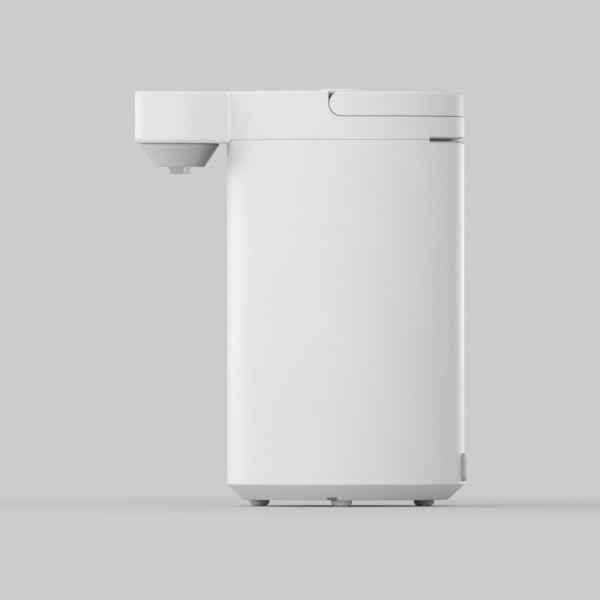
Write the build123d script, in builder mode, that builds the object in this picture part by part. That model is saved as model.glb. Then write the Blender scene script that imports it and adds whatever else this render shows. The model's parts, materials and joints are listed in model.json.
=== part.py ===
from build123d import *
import math

# Hot water dispenser: a tall round thermal pot with a spout arm at the front (-Y), a carry
# handle that swings up from the rear of the top, and a hinged lid inside that handle.
# Millimetres, +Z up. The origin is on the table, midway between the arm's tip and the inlet.

# Outer body, from the table up
body_d = 205.0
foot_h = 5.5
base_h = 13.1
base_taper = 14.2
shell_h = 297.5
top_h = 42.1
seam_gap = 0.5
edge_round = 2.0

# Walls
shell_wall = 2.5
top_wall = 2.8
base_wall = 3.0
deck_t = 3.0
roof_t = 3.5
rim_wall = 5.0

# Clearances
fit = 0.2
seat_fit = 0.1
running_fit = 0.05
free_gap = 0.5
slide_gap = 0.3
over_cut = 1.0

# Joint between the shell and its neighbours
spigot_t = 2.6
spigot_h = 6.0
shoulder_h = 3.0

# Spout arm and nozzle
arm_w = 77.8
arm_drop = 3.0
arm_blend = 3.0
arm_taper = 22.6
neck_l = 58.0
arm_round = 2.8
spout_gap = 6.2
cone_inset = 4.4
cone_h = 19.6
cone_bottom_d = 42.6
cone_wall = 2.4
cone_shadow = 0.6
cone_neck = 1.5
cone_spigot = 4.5
cone_round = 1.0
tip_top_d = 20.3
tip_bottom_d = 15.6
tip_h = 6.2
tip_stem_d = 12.0
tip_stem_h = 12.0
tip_bore_d = 5.0
tip_socket_h = 5.0
tip_round = 0.8

# Touch panel on the arm and the board under it
panel_margin = 10.0
panel_t = 1.6
board_t = 1.6
board_post_d = 6.0
board_post_h = 3.0

# Vent groove round the rear of the seam
groove_angle = 90.0
groove_h = 5.4
groove_depth = 7.0
groove_back = 2.0
groove_end_wall = 3.0

# Carry handle
handle_h = 21.1
handle_t = 11.85
handle_inset = 0.65
handle_drop = 0.6
handle_round = 2.4
handle_pivot_y = -3.75
swing_gap = 1.5
pivot_d = 8.0
pivot_bite = 7.5
ring_wall = 6.7

# Lid
lid_gap = 0.8
lid_wall = 2.5
lid_plate = 3.0
lid_h = 16.2
lid_edge = 1.0
lid_flat = 3.5
lid_flat_angle = 28.4
hinge_r = 5.2
hinge_wall = 6.5
hinge_gap = 0.4
knuckle_w = 32.0
hinge_pin_d = 3.0
hinge_pin_l = 80.0
inner_plate_t = 2.5
inner_plate_inset = 0.8
plug_h = 5.0
gasket_w = 5.2
gasket_lip = 2.0
mouth_gap = 1.8
clamp_t = 2.5
vent_d = 22.0
vent_inset = 22.4
vent_hole_d = 6.0
vent_slot_w = 1.6

# Lid release: push bar, its springs and the latch it draws back
bar_w = 100.0
bar_d = 41.4
bar_y = -1.4
bar_proud = 1.8
bar_h = 10.5
bar_wall = 2.0
bar_plate = 2.5
bar_travel = 3.0
bar_gap = 0.4
bar_chamfer = 1.6
stem_x = 30.0
stem_d = 9.0
post_d = 4.8
post_h = 9.0
spring_d = 13.0
spring_wire = 0.9
spring_turns = 6
latch_w = 14.0
latch_t = 3.0
latch_reach = 2.2
cam_t = 2.5
cam_w = 8.0
cam_y = -6.0

# Inner pot
service_gap = 15.0
pot_wall = 1.0
pot_corner = 10.0
pot_flange = 8.0
pot_neck_h = 8.0
pot_seal_t = 1.5
jacket_t = 2.4
jacket_end = 15.0

# Water path
drain_inset = 25.0
drain_d = 10.0
drain_wall = 1.0
drain_l = 4.0
hose_l = 12.5
hose_wall = 2.0
tube_d = 8.0
tube_bore = 5.4
tube_bend = 16.0
tube_elbow = 9.5
tube_level = 24.0

# Pump and motor
pump_d = 34.0
pump_chamber_d = 26.0
pump_floor_t = 2.5
pump_chamber_h = 9.0
pump_cover_t = 2.5
port_l = 7.0
port_wall = 1.0
motor_d = 28.0
motor_h = 35.5
shaft_d = 3.0
shaft_l = 26.0
impeller_d = 24.0
impeller_h = 6.5
hub_d = 8.0
blade_t = 1.6
blades = 6
socket_wall = 2.0
socket_h = 6.5

# Heating
heater_clear = 11.0
heater_t = 3.0
element_inset = 9.0
element_r = 4.0
thermostat_d = 18.0
thermostat_h = 7.0

# Cradle that carries the pot, its screws and the feet
cradle_inset = 10.0
cradle_wall = 5.0
window_w = 42.0
arch_h = 8.0
screw_d = 3.0
screw_head_d = 6.8
screw_head_h = 1.5
screw_l = 12.0
boss_d = 10.0
boss_h = 16.0
foot_d = 18.0
foot_round = 4.4
foot_stem_d = 7.0
foot_ring_d = 142.4
foot_y = -3.5
vent_pitch = 6.0
base_slot_l = 40.0

# Power inlet at the lower rear
inlet_w = 47.0
inlet_h = 23.5
inlet_z = 33.4
inlet_proud = 2.2
inlet_corner = 5.0
inlet_wall = 3.0
inlet_recess = 3.5
inlet_flange = 3.0
inlet_flange_t = 2.0
inlet_edge = 1.8
contact_d = 3.0
contact_pitch = 11.0
contact_l = 14.0
contact_out = 2.0

# Power board in the base
power_w = 66.0
power_l = 40.0
power_inset = 47.0
power_post_h = 11.5
power_post_d = 7.0
transformer_h = 18.0
relay_h = 15.0
capacitor_d = 10.0
capacitor_h = 16.0

# Radii and heights that follow from those sizes
body_r = body_d / 2
shell_r = body_r - shell_wall
base_z = foot_h + base_h
floor_z = foot_h + base_wall
seam_z = base_z + shell_h
top_z = seam_z + top_h

cone_r = arm_w / 2 - cone_inset
nozzle_off = body_r + spout_gap + cone_r
arm_reach = nozzle_off + arm_w / 2
axis_y = (arm_reach - body_r - inlet_proud) / 2
arm_z = seam_z - arm_drop
cone_top_z = arm_z - cone_shadow
cone_z = cone_top_z - cone_h
panel_r = arm_w / 2 - panel_margin

handle_r = body_r - handle_inset
handle_in_r = handle_r - handle_t
ring_r = handle_in_r - swing_gap
pivot_z = top_z - handle_drop - handle_h / 2
recess_r = handle_h / 2 + free_gap
deck_z = pivot_z - recess_r - deck_t
well_r = ring_r - ring_wall
lid_r = well_r - lid_gap
lid_z = top_z - lid_h
hinge_z = top_z - hinge_r
hinge_y = ring_r - hinge_wall - hinge_r - 2 * hinge_gap
chord_y = hinge_y - hinge_r - hinge_gap
vent_y = chord_y - vent_inset
plate_z = lid_z - inner_plate_t
seat_z = deck_z + clamp_t
rim_z = deck_z - pot_seal_t
mouth_r = well_r - rim_wall + gasket_lip - seat_fit
gasket_r = mouth_r - mouth_gap
plug_r = gasket_r - gasket_w

pot_r = shell_r - service_gap
drain_y = -(pot_r - drain_inset)
heater_d = 2 * (-drain_y - heater_clear)
element_d = heater_d - 2 * element_inset
cradle_d = 2 * (pot_r - cradle_inset)
power_y = pot_r - power_inset
machine_h = motor_h + pump_floor_t + pump_chamber_h + pump_cover_t + hose_l
pot_z = floor_z + machine_h
neck_r = gasket_r - gasket_lip
tube_y = -(pot_r + jacket_t + fit + tube_d / 2 + 2 * fit)

# Planes and axes through the middle of the body
body_axis = Axis((0, axis_y, 0), (0, 0, 1))
side = Plane(origin=(0, axis_y, 0), x_dir=(0, 1, 0), z_dir=(1, 0, 0))


def level(z, y=0.0):
    """Horizontal plane at height z, with its origin at y from the body's axis."""
    return Plane((0, axis_y + y, z))


def save(builder, label):
    """Name a finished piece and write it to its own file."""
    builder.part.label = label
    export_step(builder.part, f"parts/{label}.step")


def arm_corners(sketch, r):
    """The two inner corners where the arm's sides run into the round body of radius r."""
    return sketch.vertices().filter_by(lambda v: v.Y < -body_r / 2 and abs(math.hypot(v.X, v.Y) - r) < fit)


def body_and_arm(sketch, inset):
    """Plan of the top housing, drawn inwards by inset: round body, round spout head, and a neck
    whose sides leave the head at a tangent and draw together towards the body."""
    lean = math.radians(arm_taper)
    head_r = arm_w / 2 - inset
    head_x = head_r * math.cos(lean)
    head_y = -nozzle_off + head_r * math.sin(lean)
    root_x = head_x - neck_l * math.sin(lean)
    root_y = head_y + neck_l * math.cos(lean)
    Circle(body_r - inset)
    with Locations((0, -nozzle_off)):
        Circle(head_r)
    Polygon((head_x, head_y), (root_x, root_y), (-root_x, root_y), (-head_x, head_y), align=None)
    fillet(arm_corners(sketch, body_r - inset), arm_blend + inset)


def ring_profile(r_in, r_out, z_low, z_high):
    """Section of a ring round the body's axis, on the side plane."""
    with Locations((r_in, z_low)):
        Rectangle(r_out - r_in, z_high - z_low, align=(Align.MIN, Align.MIN))


def handle_strip(grow):
    """Side view of the carry handle: a round end about its pivot and a straight strip to the rear."""
    half = handle_h / 2 + grow
    with Locations((handle_pivot_y, pivot_z)):
        Circle(half)
        Rectangle(2 * body_r, 2 * half, align=(Align.MIN, Align.CENTER))


def lid_plan(inset):
    """Plan of the lid: a disc with a straight rear edge in front of the hinge, and a flat at each
    end of that edge, so that the corners clear the rim as the lid swings up."""
    Circle(lid_r - inset)
    with Locations((0, chord_y - inset)):
        Rectangle(2 * lid_r, 2 * lid_r, align=(Align.CENTER, Align.MAX), mode=Mode.INTERSECT)
    for turn in (-lid_flat_angle, lid_flat_angle):
        with Locations(Rot(0, 0, turn) * Pos(0, lid_r - lid_flat - inset)):
            Rectangle(3 * lid_r, 3 * lid_r, align=(Align.CENTER, Align.MAX), mode=Mode.INTERSECT)


# Vent groove: a wedge round the rear of the seam, cut half into the shell and half above it
groove_start = 90 - groove_angle / 2
with BuildPart() as groove:
    with BuildSketch(side):
        with BuildLine():
            Polyline(
                (body_r - groove_depth, seam_z - seam_gap / 2),
                (body_r + fit, seam_z - seam_gap / 2 - groove_h / 2),
                (body_r + fit, seam_z - seam_gap / 2 + groove_h / 2),
                close=True,
            )
        make_face()
    revolve(axis=body_axis, revolution_arc=groove_angle)
groove_cut = groove.part.rotate(body_axis, -groove_angle / 2)

# The thicker wall behind that groove spans a little more than the groove itself
backing_angle = groove_angle + 2 * math.degrees(groove_end_wall / body_r)
backing_r = body_r - groove_depth - groove_back


def groove_backing(z_low, z_high, r_out):
    """Thick wall segment behind the groove, between two heights."""
    with BuildPart() as segment:
        with BuildSketch(side):
            ring_profile(backing_r, r_out, z_low, z_high)
        revolve(axis=body_axis, revolution_arc=backing_angle)
    return segment.part.rotate(body_axis, -backing_angle / 2)


# Outer shell: the plain tube, its inlet window and its half of the groove
inlet_face_y = body_r + inlet_proud
inlet_flange_y = math.sqrt(shell_r**2 - (inlet_w / 2 + inlet_flange) ** 2) - fit
inlet_depth = inlet_face_y - inlet_flange_y + inlet_flange_t
with BuildPart() as outer_shell:
    with BuildSketch(side):
        ring_profile(shell_r, body_r, base_z, seam_z - seam_gap)
    revolve(axis=body_axis)
    add(groove_backing(seam_z - seam_gap - groove_h, seam_z - seam_gap, body_r - shell_wall / 2))
    add(groove_cut, mode=Mode.SUBTRACT)
    with BuildSketch(Plane((0, axis_y, inlet_z), x_dir=(-1, 0, 0), z_dir=(0, 1, 0))):
        RectangleRounded(inlet_w + 2 * fit, inlet_h + 2 * fit, inlet_corner + fit)
    extrude(amount=body_r + inlet_proud, mode=Mode.SUBTRACT)
save(outer_shell, "outer_shell")

# Space that the carry handle needs: its strip with a gap all round, open at the top
with BuildPart() as handle_room:
    with BuildSketch(side):
        handle_strip(free_gap)
        with Locations((handle_pivot_y - recess_r, pivot_z)):
            Rectangle(2 * body_r, top_h, align=(Align.MIN, Align.MIN))
    extrude(amount=body_r + over_cut, both=True)
    with BuildSketch(level(seam_z)):
        Circle(ring_r)
    extrude(amount=2 * top_h, mode=Mode.SUBTRACT)

# Fixed half of the lid hinge: a shelf at the rear of the lid well with a rounded front
shelf_z = lid_z
shelf_front = hinge_y - hinge_r
with BuildPart() as hinge_shelf:
    with BuildSketch(side):
        with Locations((shelf_front, shelf_z)):
            Rectangle(body_r, hinge_z - shelf_z, align=(Align.MIN, Align.MIN))
        with Locations((hinge_y, hinge_z)):
            Circle(hinge_r)
            Rectangle(body_r, hinge_r, align=(Align.MIN, Align.MIN))
    extrude(amount=well_r, both=True)
    with BuildSketch(level(seam_z)):
        Circle(well_r + fit)
    extrude(amount=2 * top_h, mode=Mode.INTERSECT)

# Room for the lid's own knuckle in that shelf
knuckle_room = hinge_r + hinge_gap
with BuildPart() as knuckle_slot:
    with BuildSketch(side):
        with Locations((hinge_y, hinge_z)):
            Circle(knuckle_room)
        with Locations((hinge_y + knuckle_room, hinge_z)):
            Rectangle(3 * hinge_r, top_h, align=(Align.MAX, Align.MIN))
        with Locations((hinge_y, hinge_z)):
            Rectangle(2 * hinge_r, 2 * knuckle_room, align=(Align.MAX, Align.CENTER))
    extrude(amount=knuckle_w / 2 + hinge_gap, both=True)

# Top housing: round rim and spout arm in one moulding
front_wall_y = handle_pivot_y - recess_r - top_wall
with BuildPart() as top_housing:
    with BuildSketch(level(seam_z)) as plan:
        body_and_arm(plan, 0)
    extrude(amount=top_h)
    fillet(top_housing.faces().sort_by(Axis.Z)[-1].edges(), edge_round)
    # The arm hangs a little below the seam, outside the shell
    with BuildSketch(level(arm_z)) as lower_plan:
        body_and_arm(lower_plan, 0)
        with Locations((0, -body_r / 2)):
            Rectangle(body_d, 2 * arm_reach, align=(Align.CENTER, Align.MAX), mode=Mode.INTERSECT)
    extrude(amount=arm_drop)
    arm_edges = top_housing.faces().sort_by(Axis.Z)[0].edges()
    fillet(arm_edges.filter_by(lambda e: e.center().Y < axis_y - body_r / 2 - over_cut), arm_round)
    with BuildSketch(level(arm_z - over_cut)):
        Circle(body_r + fit)
    extrude(amount=arm_drop + over_cut, mode=Mode.SUBTRACT)
    # Hollow under the deck, open to the shell, then the space in front of the handle
    with BuildSketch(level(seam_z)) as hollow:
        body_and_arm(hollow, top_wall)
    extrude(amount=deck_z - seam_z, mode=Mode.SUBTRACT)
    with BuildSketch(level(deck_z)) as front_hollow:
        body_and_arm(front_hollow, top_wall)
        with Locations((0, front_wall_y)):
            Rectangle(body_d, 2 * arm_reach, align=(Align.CENTER, Align.MAX), mode=Mode.INTERSECT)
        Circle(well_r + rim_wall, mode=Mode.SUBTRACT)
    extrude(amount=top_z - roof_t - deck_z, mode=Mode.SUBTRACT)
    # Spigot that centres the housing in the shell
    with BuildSketch(side):
        ring_profile(shell_r - fit - spigot_t, shell_r - fit, seam_z - spigot_h, seam_z + shoulder_h)
        ring_profile(shell_r - fit - spigot_t, body_r - top_wall / 2, seam_z, seam_z + shoulder_h)
    revolve(axis=body_axis)
    # The spigot makes way for the shell's thick wall behind the groove
    add(groove_backing(seam_z - spigot_h, seam_z, body_r), mode=Mode.SUBTRACT)
    add(groove_backing(seam_z, seam_z + groove_h, body_r - top_wall / 2))
    add(groove_cut, mode=Mode.SUBTRACT)
    # Arm opening through the spigot's shoulder
    with BuildSketch(level(seam_z)) as arm_opening:
        body_and_arm(arm_opening, top_wall)
        with Locations((0, -shell_r)):
            Rectangle(arm_w, service_gap + spigot_t + shell_wall, mode=Mode.INTERSECT)
    extrude(amount=shoulder_h, mode=Mode.SUBTRACT)
    # Lid well, and the mouth over the pot
    with BuildSketch(level(seat_z)):
        Circle(well_r)
    extrude(amount=top_h, mode=Mode.SUBTRACT)
    with BuildSketch(level(seam_z)):
        Circle(mouth_r)
    extrude(amount=top_h, mode=Mode.SUBTRACT)
    # Handle recess, pivot holes and lid hinge
    add(handle_room.part, mode=Mode.SUBTRACT)
    add(hinge_shelf.part)
    add(knuckle_slot.part, mode=Mode.SUBTRACT)
    with BuildSketch(side):
        with Locations((handle_pivot_y, pivot_z)):
            Circle(pivot_d / 2 + seat_fit)
    extrude(amount=body_r, both=True, mode=Mode.SUBTRACT)
    with BuildSketch(side):
        with Locations((hinge_y, hinge_z)):
            Circle(hinge_pin_d / 2 + running_fit)
    extrude(amount=body_r, both=True, mode=Mode.SUBTRACT)
    # Notch that the latch reaches into, open at the top
    with BuildSketch(level(lid_z - fit)):
        with Locations((0, -well_r + lid_gap)):
            Rectangle(
                latch_w + 2 * free_gap,
                latch_reach + lid_gap + free_gap,
                align=(Align.CENTER, Align.MAX),
            )
    extrude(amount=top_h, mode=Mode.SUBTRACT)
    # Seat of the touch panel and hole for the nozzle
    with BuildSketch(level(top_z, -nozzle_off)):
        Circle(panel_r + fit)
    extrude(amount=-panel_t, mode=Mode.SUBTRACT)
    with BuildSketch(level(arm_z - over_cut, -nozzle_off)):
        Circle(cone_r - cone_spigot + fit)
    extrude(amount=arm_drop + over_cut, mode=Mode.SUBTRACT)
    # Posts for the board under the panel
    with BuildSketch(level(top_z - roof_t - board_post_h, -nozzle_off)):
        with PolarLocations(panel_r - board_post_d, 4, start_angle=45):
            Circle(board_post_d / 2)
    extrude(amount=board_post_h)
save(top_housing, "top_housing")

# Carry handle: a ring section cut to the side view, with a blind hole for each pivot pin
with BuildPart() as carry_handle:
    with BuildSketch(side) as section:
        ring_profile(handle_in_r, handle_r, pivot_z - handle_h / 2, pivot_z + handle_h / 2)
        outer_top = section.vertices().sort_by(Axis.Y)[-2:].sort_by(Axis.X)[-1]
        fillet(outer_top, handle_round)
    revolve(axis=body_axis)
    with BuildSketch(side):
        handle_strip(0)
    extrude(amount=body_r, both=True, mode=Mode.INTERSECT)
    with BuildSketch(side):
        with Locations((handle_pivot_y, pivot_z)):
            Circle(pivot_d / 2 + running_fit)
    extrude(amount=handle_in_r + pivot_bite, both=True, mode=Mode.SUBTRACT)
save(carry_handle, "carry_handle")

# Pivot pins, pressed into the rim and turning in the handle
with BuildPart() as handle_pins:
    with BuildSketch(side):
        with Locations((handle_pivot_y, pivot_z)):
            Circle(pivot_d / 2)
    extrude(amount=handle_in_r + pivot_bite - free_gap, both=True)
    with BuildSketch(side):
        with Locations((handle_pivot_y, pivot_z)):
            Circle(pivot_d)
    extrude(amount=well_r + lid_gap, both=True, mode=Mode.SUBTRACT)
save(handle_pins, "handle_pins")

# Lid cover: a shallow cap with its hinge knuckle, push bar opening, vent hole and latch slot
bar_z = top_z + bar_proud
latch_z = lid_z + slide_gap
with BuildPart() as lid_cover:
    with BuildSketch(level(lid_z)):
        lid_plan(0)
    extrude(amount=lid_h)
    rim_edges = lid_cover.faces().sort_by(Axis.Z)[-1].edges()
    fillet(rim_edges.filter_by(lambda e: e.center().Y < axis_y + chord_y - lid_edge), lid_edge)
    with BuildSketch(level(lid_z)):
        lid_plan(lid_wall)
    extrude(amount=lid_h - lid_plate, mode=Mode.SUBTRACT)
    with BuildSketch(side):
        with Locations((hinge_y, hinge_z)):
            Circle(hinge_r)
            Rectangle(
                hinge_y - chord_y + lid_wall,
                2 * hinge_r,
                align=(Align.MAX, Align.CENTER),
            )
    extrude(amount=knuckle_w / 2, both=True)
    with BuildSketch(side):
        with Locations((hinge_y, hinge_z)):
            Circle(hinge_pin_d / 2 + running_fit)
    extrude(amount=knuckle_w, both=True, mode=Mode.SUBTRACT)
    with BuildSketch(level(top_z, bar_y)):
        SlotOverall(bar_w + 2 * bar_gap, bar_d + 2 * bar_gap)
    extrude(amount=-lid_plate, mode=Mode.SUBTRACT)
    with BuildSketch(level(top_z, vent_y)):
        Circle(vent_d / 2 + fit)
    extrude(amount=-lid_plate, mode=Mode.SUBTRACT)
    with BuildSketch(level(lid_z)):
        with Locations((0, -lid_r)):
            Rectangle(latch_w + 2 * slide_gap, 4 * lid_wall)
    extrude(amount=latch_t + 2 * slide_gap, mode=Mode.SUBTRACT)
save(lid_cover, "lid_cover")

# Lid hinge pin
with BuildPart() as lid_hinge_pin:
    with BuildSketch(side):
        with Locations((hinge_y, hinge_z)):
            Circle(hinge_pin_d / 2)
    extrude(amount=hinge_pin_l / 2, both=True)
save(lid_hinge_pin, "lid_hinge_pin")

# Inner plate under the lid, with a plug into the pot's mouth and two posts for the push bar
with BuildPart() as lid_inner_plate:
    with BuildSketch(level(plate_z)):
        lid_plan(inner_plate_inset)
    extrude(amount=inner_plate_t)
    with BuildSketch(level(plate_z - plug_h)):
        Circle(plug_r)
    extrude(amount=plug_h)
    fillet(lid_inner_plate.faces().sort_by(Axis.Z)[0].edges(), lid_wall)
    with BuildSketch(level(lid_z, bar_y)):
        with Locations((-stem_x, 0), (stem_x, 0)):
            Circle(post_d / 2)
    extrude(amount=post_h)
    with BuildSketch(level(lid_z, vent_y)):
        Circle(vent_hole_d / 2)
    extrude(amount=-(inner_plate_t + plug_h), mode=Mode.SUBTRACT)
save(lid_inner_plate, "lid_inner_plate")

# Lid gasket: a sleeve round the plug with a lip that meets the pot's rim
with BuildPart() as lid_gasket:
    with BuildSketch(side):
        ring_profile(plug_r + seat_fit, gasket_r - gasket_lip, rim_z + slide_gap, plate_z)
        ring_profile(plug_r + seat_fit, gasket_r, rim_z + slide_gap, rim_z + slide_gap + gasket_lip)
    revolve(axis=body_axis)
save(lid_gasket, "lid_gasket")

# Steam vent cap: slotted disc on a short chimney that stands on the inner plate
with BuildPart() as steam_vent_cap:
    with BuildSketch(level(lid_z, vent_y)):
        Circle(vent_hole_d / 2 + lid_wall)
        Circle(vent_hole_d / 2, mode=Mode.SUBTRACT)
    extrude(amount=lid_h - lid_plate)
    with BuildSketch(level(top_z - lid_plate - lid_edge, vent_y)):
        Circle(vent_d / 2)
    extrude(amount=lid_plate + lid_edge - fit)
    with BuildSketch(level(top_z, vent_y)):
        with GridLocations(0, 2 * vent_slot_w, 1, 3):
            SlotOverall(vent_d / 2, vent_slot_w)
    extrude(amount=-(lid_plate + 2 * lid_edge), mode=Mode.SUBTRACT)
save(steam_vent_cap, "steam_vent_cap")

# Push bar that releases the lid: a hollow key with two guide stems and a slanted cam rib
bar_under_z = bar_z - bar_plate
cam_z = latch_z + latch_t + bar_travel + slide_gap
cam_rise = bar_under_z - cam_z


def cam_slant(thickness, z_low, z_high):
    """Strip that leans back at 45 degrees, through the cam's lower end."""
    half = thickness / 2
    low_y = cam_y + z_low - cam_z
    high_y = cam_y + z_high - cam_z
    Polygon(
        (low_y - half, z_low),
        (low_y + half, z_low),
        (high_y + half, z_high),
        (high_y - half, z_high),
        align=None,
    )


with BuildPart() as lid_release_bar:
    with BuildSketch(level(bar_z - bar_h, bar_y)):
        SlotOverall(bar_w, bar_d)
    extrude(amount=bar_h)
    chamfer(lid_release_bar.faces().sort_by(Axis.Z)[-1].edges(), bar_chamfer)
    with BuildSketch(level(bar_z - bar_h, bar_y)):
        SlotOverall(bar_w - 2 * bar_wall, bar_d - 2 * bar_wall)
    extrude(amount=bar_h - bar_plate, mode=Mode.SUBTRACT)
    with BuildSketch(level(lid_z + bar_travel + free_gap, bar_y)):
        with Locations((-stem_x, 0), (stem_x, 0)):
            Circle(stem_d / 2)
    extrude(amount=bar_under_z - lid_z - bar_travel - free_gap)
    with BuildSketch(level(lid_z, bar_y)):
        with Locations((-stem_x, 0), (stem_x, 0)):
            Circle(post_d / 2 + slide_gap)
    extrude(amount=post_h + bar_travel + free_gap, mode=Mode.SUBTRACT)
    with BuildSketch(side):
        cam_slant(cam_t, cam_z, bar_under_z)
    extrude(amount=cam_w / 2, both=True)
save(lid_release_bar, "lid_release_bar")

# Latch: a flat slide in the lid, drawn back by the push bar's rib in its slanted slot
latch_block = cam_rise - bar_travel - slide_gap
with BuildPart() as lid_latch:
    with BuildSketch(level(latch_z)):
        with Locations((0, -lid_r - latch_reach)):
            Rectangle(
                latch_w,
                lid_r + latch_reach + cam_y + 2 * cam_rise,
                align=(Align.CENTER, Align.MIN),
            )
    extrude(amount=latch_t)
    with BuildSketch(side):
        with Locations((cam_y - cam_rise, latch_z)):
            Rectangle(3 * cam_rise, cam_z + latch_block - latch_z, align=(Align.MIN, Align.MIN))
    extrude(amount=cam_w / 2, both=True)
    with BuildSketch(side):
        cam_slant(cam_t + 4 * slide_gap, latch_z + latch_t, bar_under_z)
    extrude(amount=latch_w, both=True, mode=Mode.SUBTRACT)
save(lid_latch, "lid_latch")

# Return springs of the push bar, one round each stem
spring_r = (spring_d - spring_wire) / 2
spring_h = bar_under_z - lid_z - spring_wire - 2 * seat_fit
with BuildPart() as release_springs:
    for x in (-stem_x, stem_x):
        base_point = Vector(x, axis_y + bar_y, lid_z + spring_wire / 2 + seat_fit)
        with BuildLine(Plane(base_point)):
            coil = Helix(pitch=spring_h / spring_turns, height=spring_h, radius=spring_r)
        with BuildSketch(Plane(origin=coil @ 0, z_dir=coil % 0)):
            Circle(spring_wire / 2)
        sweep(path=coil, is_frenet=True)
save(release_springs, "release_springs")

# Nozzle cone under the arm, hollow, with a spigot through the arm's floor
nozzle_side = Plane(origin=(0, axis_y - nozzle_off, 0), x_dir=(0, 1, 0), z_dir=(1, 0, 0))
nozzle_axis = Axis((0, axis_y - nozzle_off, 0), (0, 0, 1))
cone_bottom_r = cone_bottom_d / 2
cone_spigot_r = cone_r - cone_spigot
stem_hole_r = tip_stem_d / 2 + seat_fit
with BuildPart() as nozzle_cone:
    with BuildSketch(nozzle_side):
        with BuildLine():
            Polyline(
                (stem_hole_r, cone_z),
                (cone_bottom_r, cone_z),
                (cone_r, cone_top_z),
                (cone_r - cone_neck, cone_top_z),
                (cone_r - cone_neck, arm_z),
                (cone_spigot_r, arm_z),
                (cone_spigot_r, seam_z),
                (cone_spigot_r - cone_wall, seam_z),
                (cone_spigot_r - cone_wall, cone_top_z),
                (cone_bottom_r - cone_wall, cone_z + cone_wall),
                (stem_hole_r, cone_z + cone_wall),
                close=True,
            )
        make_face()
    revolve(axis=nozzle_axis)
    lower_rim = nozzle_cone.edges().filter_by(GeomType.CIRCLE).group_by(Axis.Z)[0].sort_by(SortBy.RADIUS)
    fillet(lower_rim[-1], cone_round)
save(nozzle_cone, "nozzle_cone")

# Nozzle tip: a short flared spout whose stem goes up through the cone and takes the tube
tip_z = cone_z - tip_h
stem_top_z = cone_z + tip_stem_h
socket_z = stem_top_z - tip_socket_h
with BuildPart() as nozzle_tip:
    with BuildSketch(nozzle_side):
        with BuildLine():
            Polyline(
                (tip_bore_d / 2, tip_z),
                (tip_bottom_d / 2, tip_z),
                (tip_top_d / 2, cone_z),
                (tip_stem_d / 2, cone_z),
                (tip_stem_d / 2, stem_top_z),
                (tube_d / 2 + seat_fit, stem_top_z),
                (tube_d / 2 + seat_fit, socket_z),
                (tip_bore_d / 2, socket_z),
                close=True,
            )
        make_face()
    revolve(axis=nozzle_axis)
    tip_rims = nozzle_tip.edges().filter_by(GeomType.CIRCLE).group_by(Axis.Z)[0].sort_by(SortBy.RADIUS)
    fillet(tip_rims[-1], tip_round)
save(nozzle_tip, "nozzle_tip")

# Touch panel in the arm's top and the board on its posts below
with BuildPart() as control_panel:
    with BuildSketch(level(top_z - panel_t, -nozzle_off)):
        Circle(panel_r)
    extrude(amount=panel_t)
save(control_panel, "control_panel")

with BuildPart() as control_board:
    with BuildSketch(level(top_z - roof_t - board_post_h, -nozzle_off)):
        Circle(panel_r)
    extrude(amount=-board_t)
save(control_board, "control_board")

# Inner pot: drawn steel wall with a rounded foot, a shoulder, a neck and a flanged rim
weld_r = pot_r - pot_corner
neck_z = rim_z - pot_neck_h
shoulder_z = neck_z - (pot_r - neck_r)
slant_step = pot_wall * math.tan(math.radians(22.5))
with BuildPart() as inner_pot:
    with BuildSketch(side) as pot_outside:
        with BuildLine():
            Polyline(
                (0, pot_z),
                (pot_r, pot_z),
                (pot_r, shoulder_z),
                (neck_r, neck_z),
                (neck_r, rim_z - pot_wall),
                (neck_r + pot_flange, rim_z - pot_wall),
                (neck_r + pot_flange, rim_z),
                (0, rim_z),
                close=True,
            )
        make_face()
        fillet(pot_outside.vertices().filter_by(lambda v: v.X > 1).sort_by(Axis.Y)[0], pot_corner)
    revolve(axis=body_axis)
    with BuildSketch(side) as pot_inside:
        with BuildLine():
            Polyline(
                (0, pot_z + pot_wall),
                (pot_r - pot_wall, pot_z + pot_wall),
                (pot_r - pot_wall, shoulder_z - slant_step),
                (neck_r - pot_wall, neck_z - slant_step),
                (neck_r - pot_wall, rim_z + over_cut),
                (0, rim_z + over_cut),
                close=True,
            )
        make_face()
        fillet(pot_inside.vertices().filter_by(lambda v: v.X > 1).sort_by(Axis.Y)[0], pot_corner - pot_wall)
    revolve(axis=body_axis, mode=Mode.SUBTRACT)
    with BuildSketch(level(pot_z)):
        Circle(weld_r)
    extrude(amount=pot_wall, mode=Mode.SUBTRACT)
save(inner_pot, "inner_pot")

# Pot bottom: flat plate welded into the wall's foot, with the drain nipple that the pump draws from
with BuildPart() as pot_bottom:
    with BuildSketch(level(pot_z)):
        Circle(weld_r)
    extrude(amount=pot_wall)
    with BuildSketch(level(pot_z, drain_y)):
        Circle(drain_d / 2)
    extrude(amount=-drain_l)
    with BuildSketch(level(pot_z + pot_wall, drain_y)):
        Circle(drain_d / 2 - drain_wall)
    extrude(amount=-(drain_l + pot_wall), mode=Mode.SUBTRACT)
save(pot_bottom, "pot_bottom")

# Seal ring between the pot's flange and the housing's seat
with BuildPart() as pot_seal_ring:
    with BuildSketch(side):
        ring_profile(mouth_r + fit, neck_r + pot_flange, rim_z, deck_z)
    revolve(axis=body_axis)
save(pot_seal_ring, "pot_seal_ring")

# Insulation wrapped round the pot
with BuildPart() as insulation_jacket:
    with BuildSketch(side):
        ring_profile(pot_r + fit, pot_r + fit + jacket_t, pot_z + jacket_end, shoulder_z - jacket_end)
    revolve(axis=body_axis)
save(insulation_jacket, "insulation_jacket")

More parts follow.
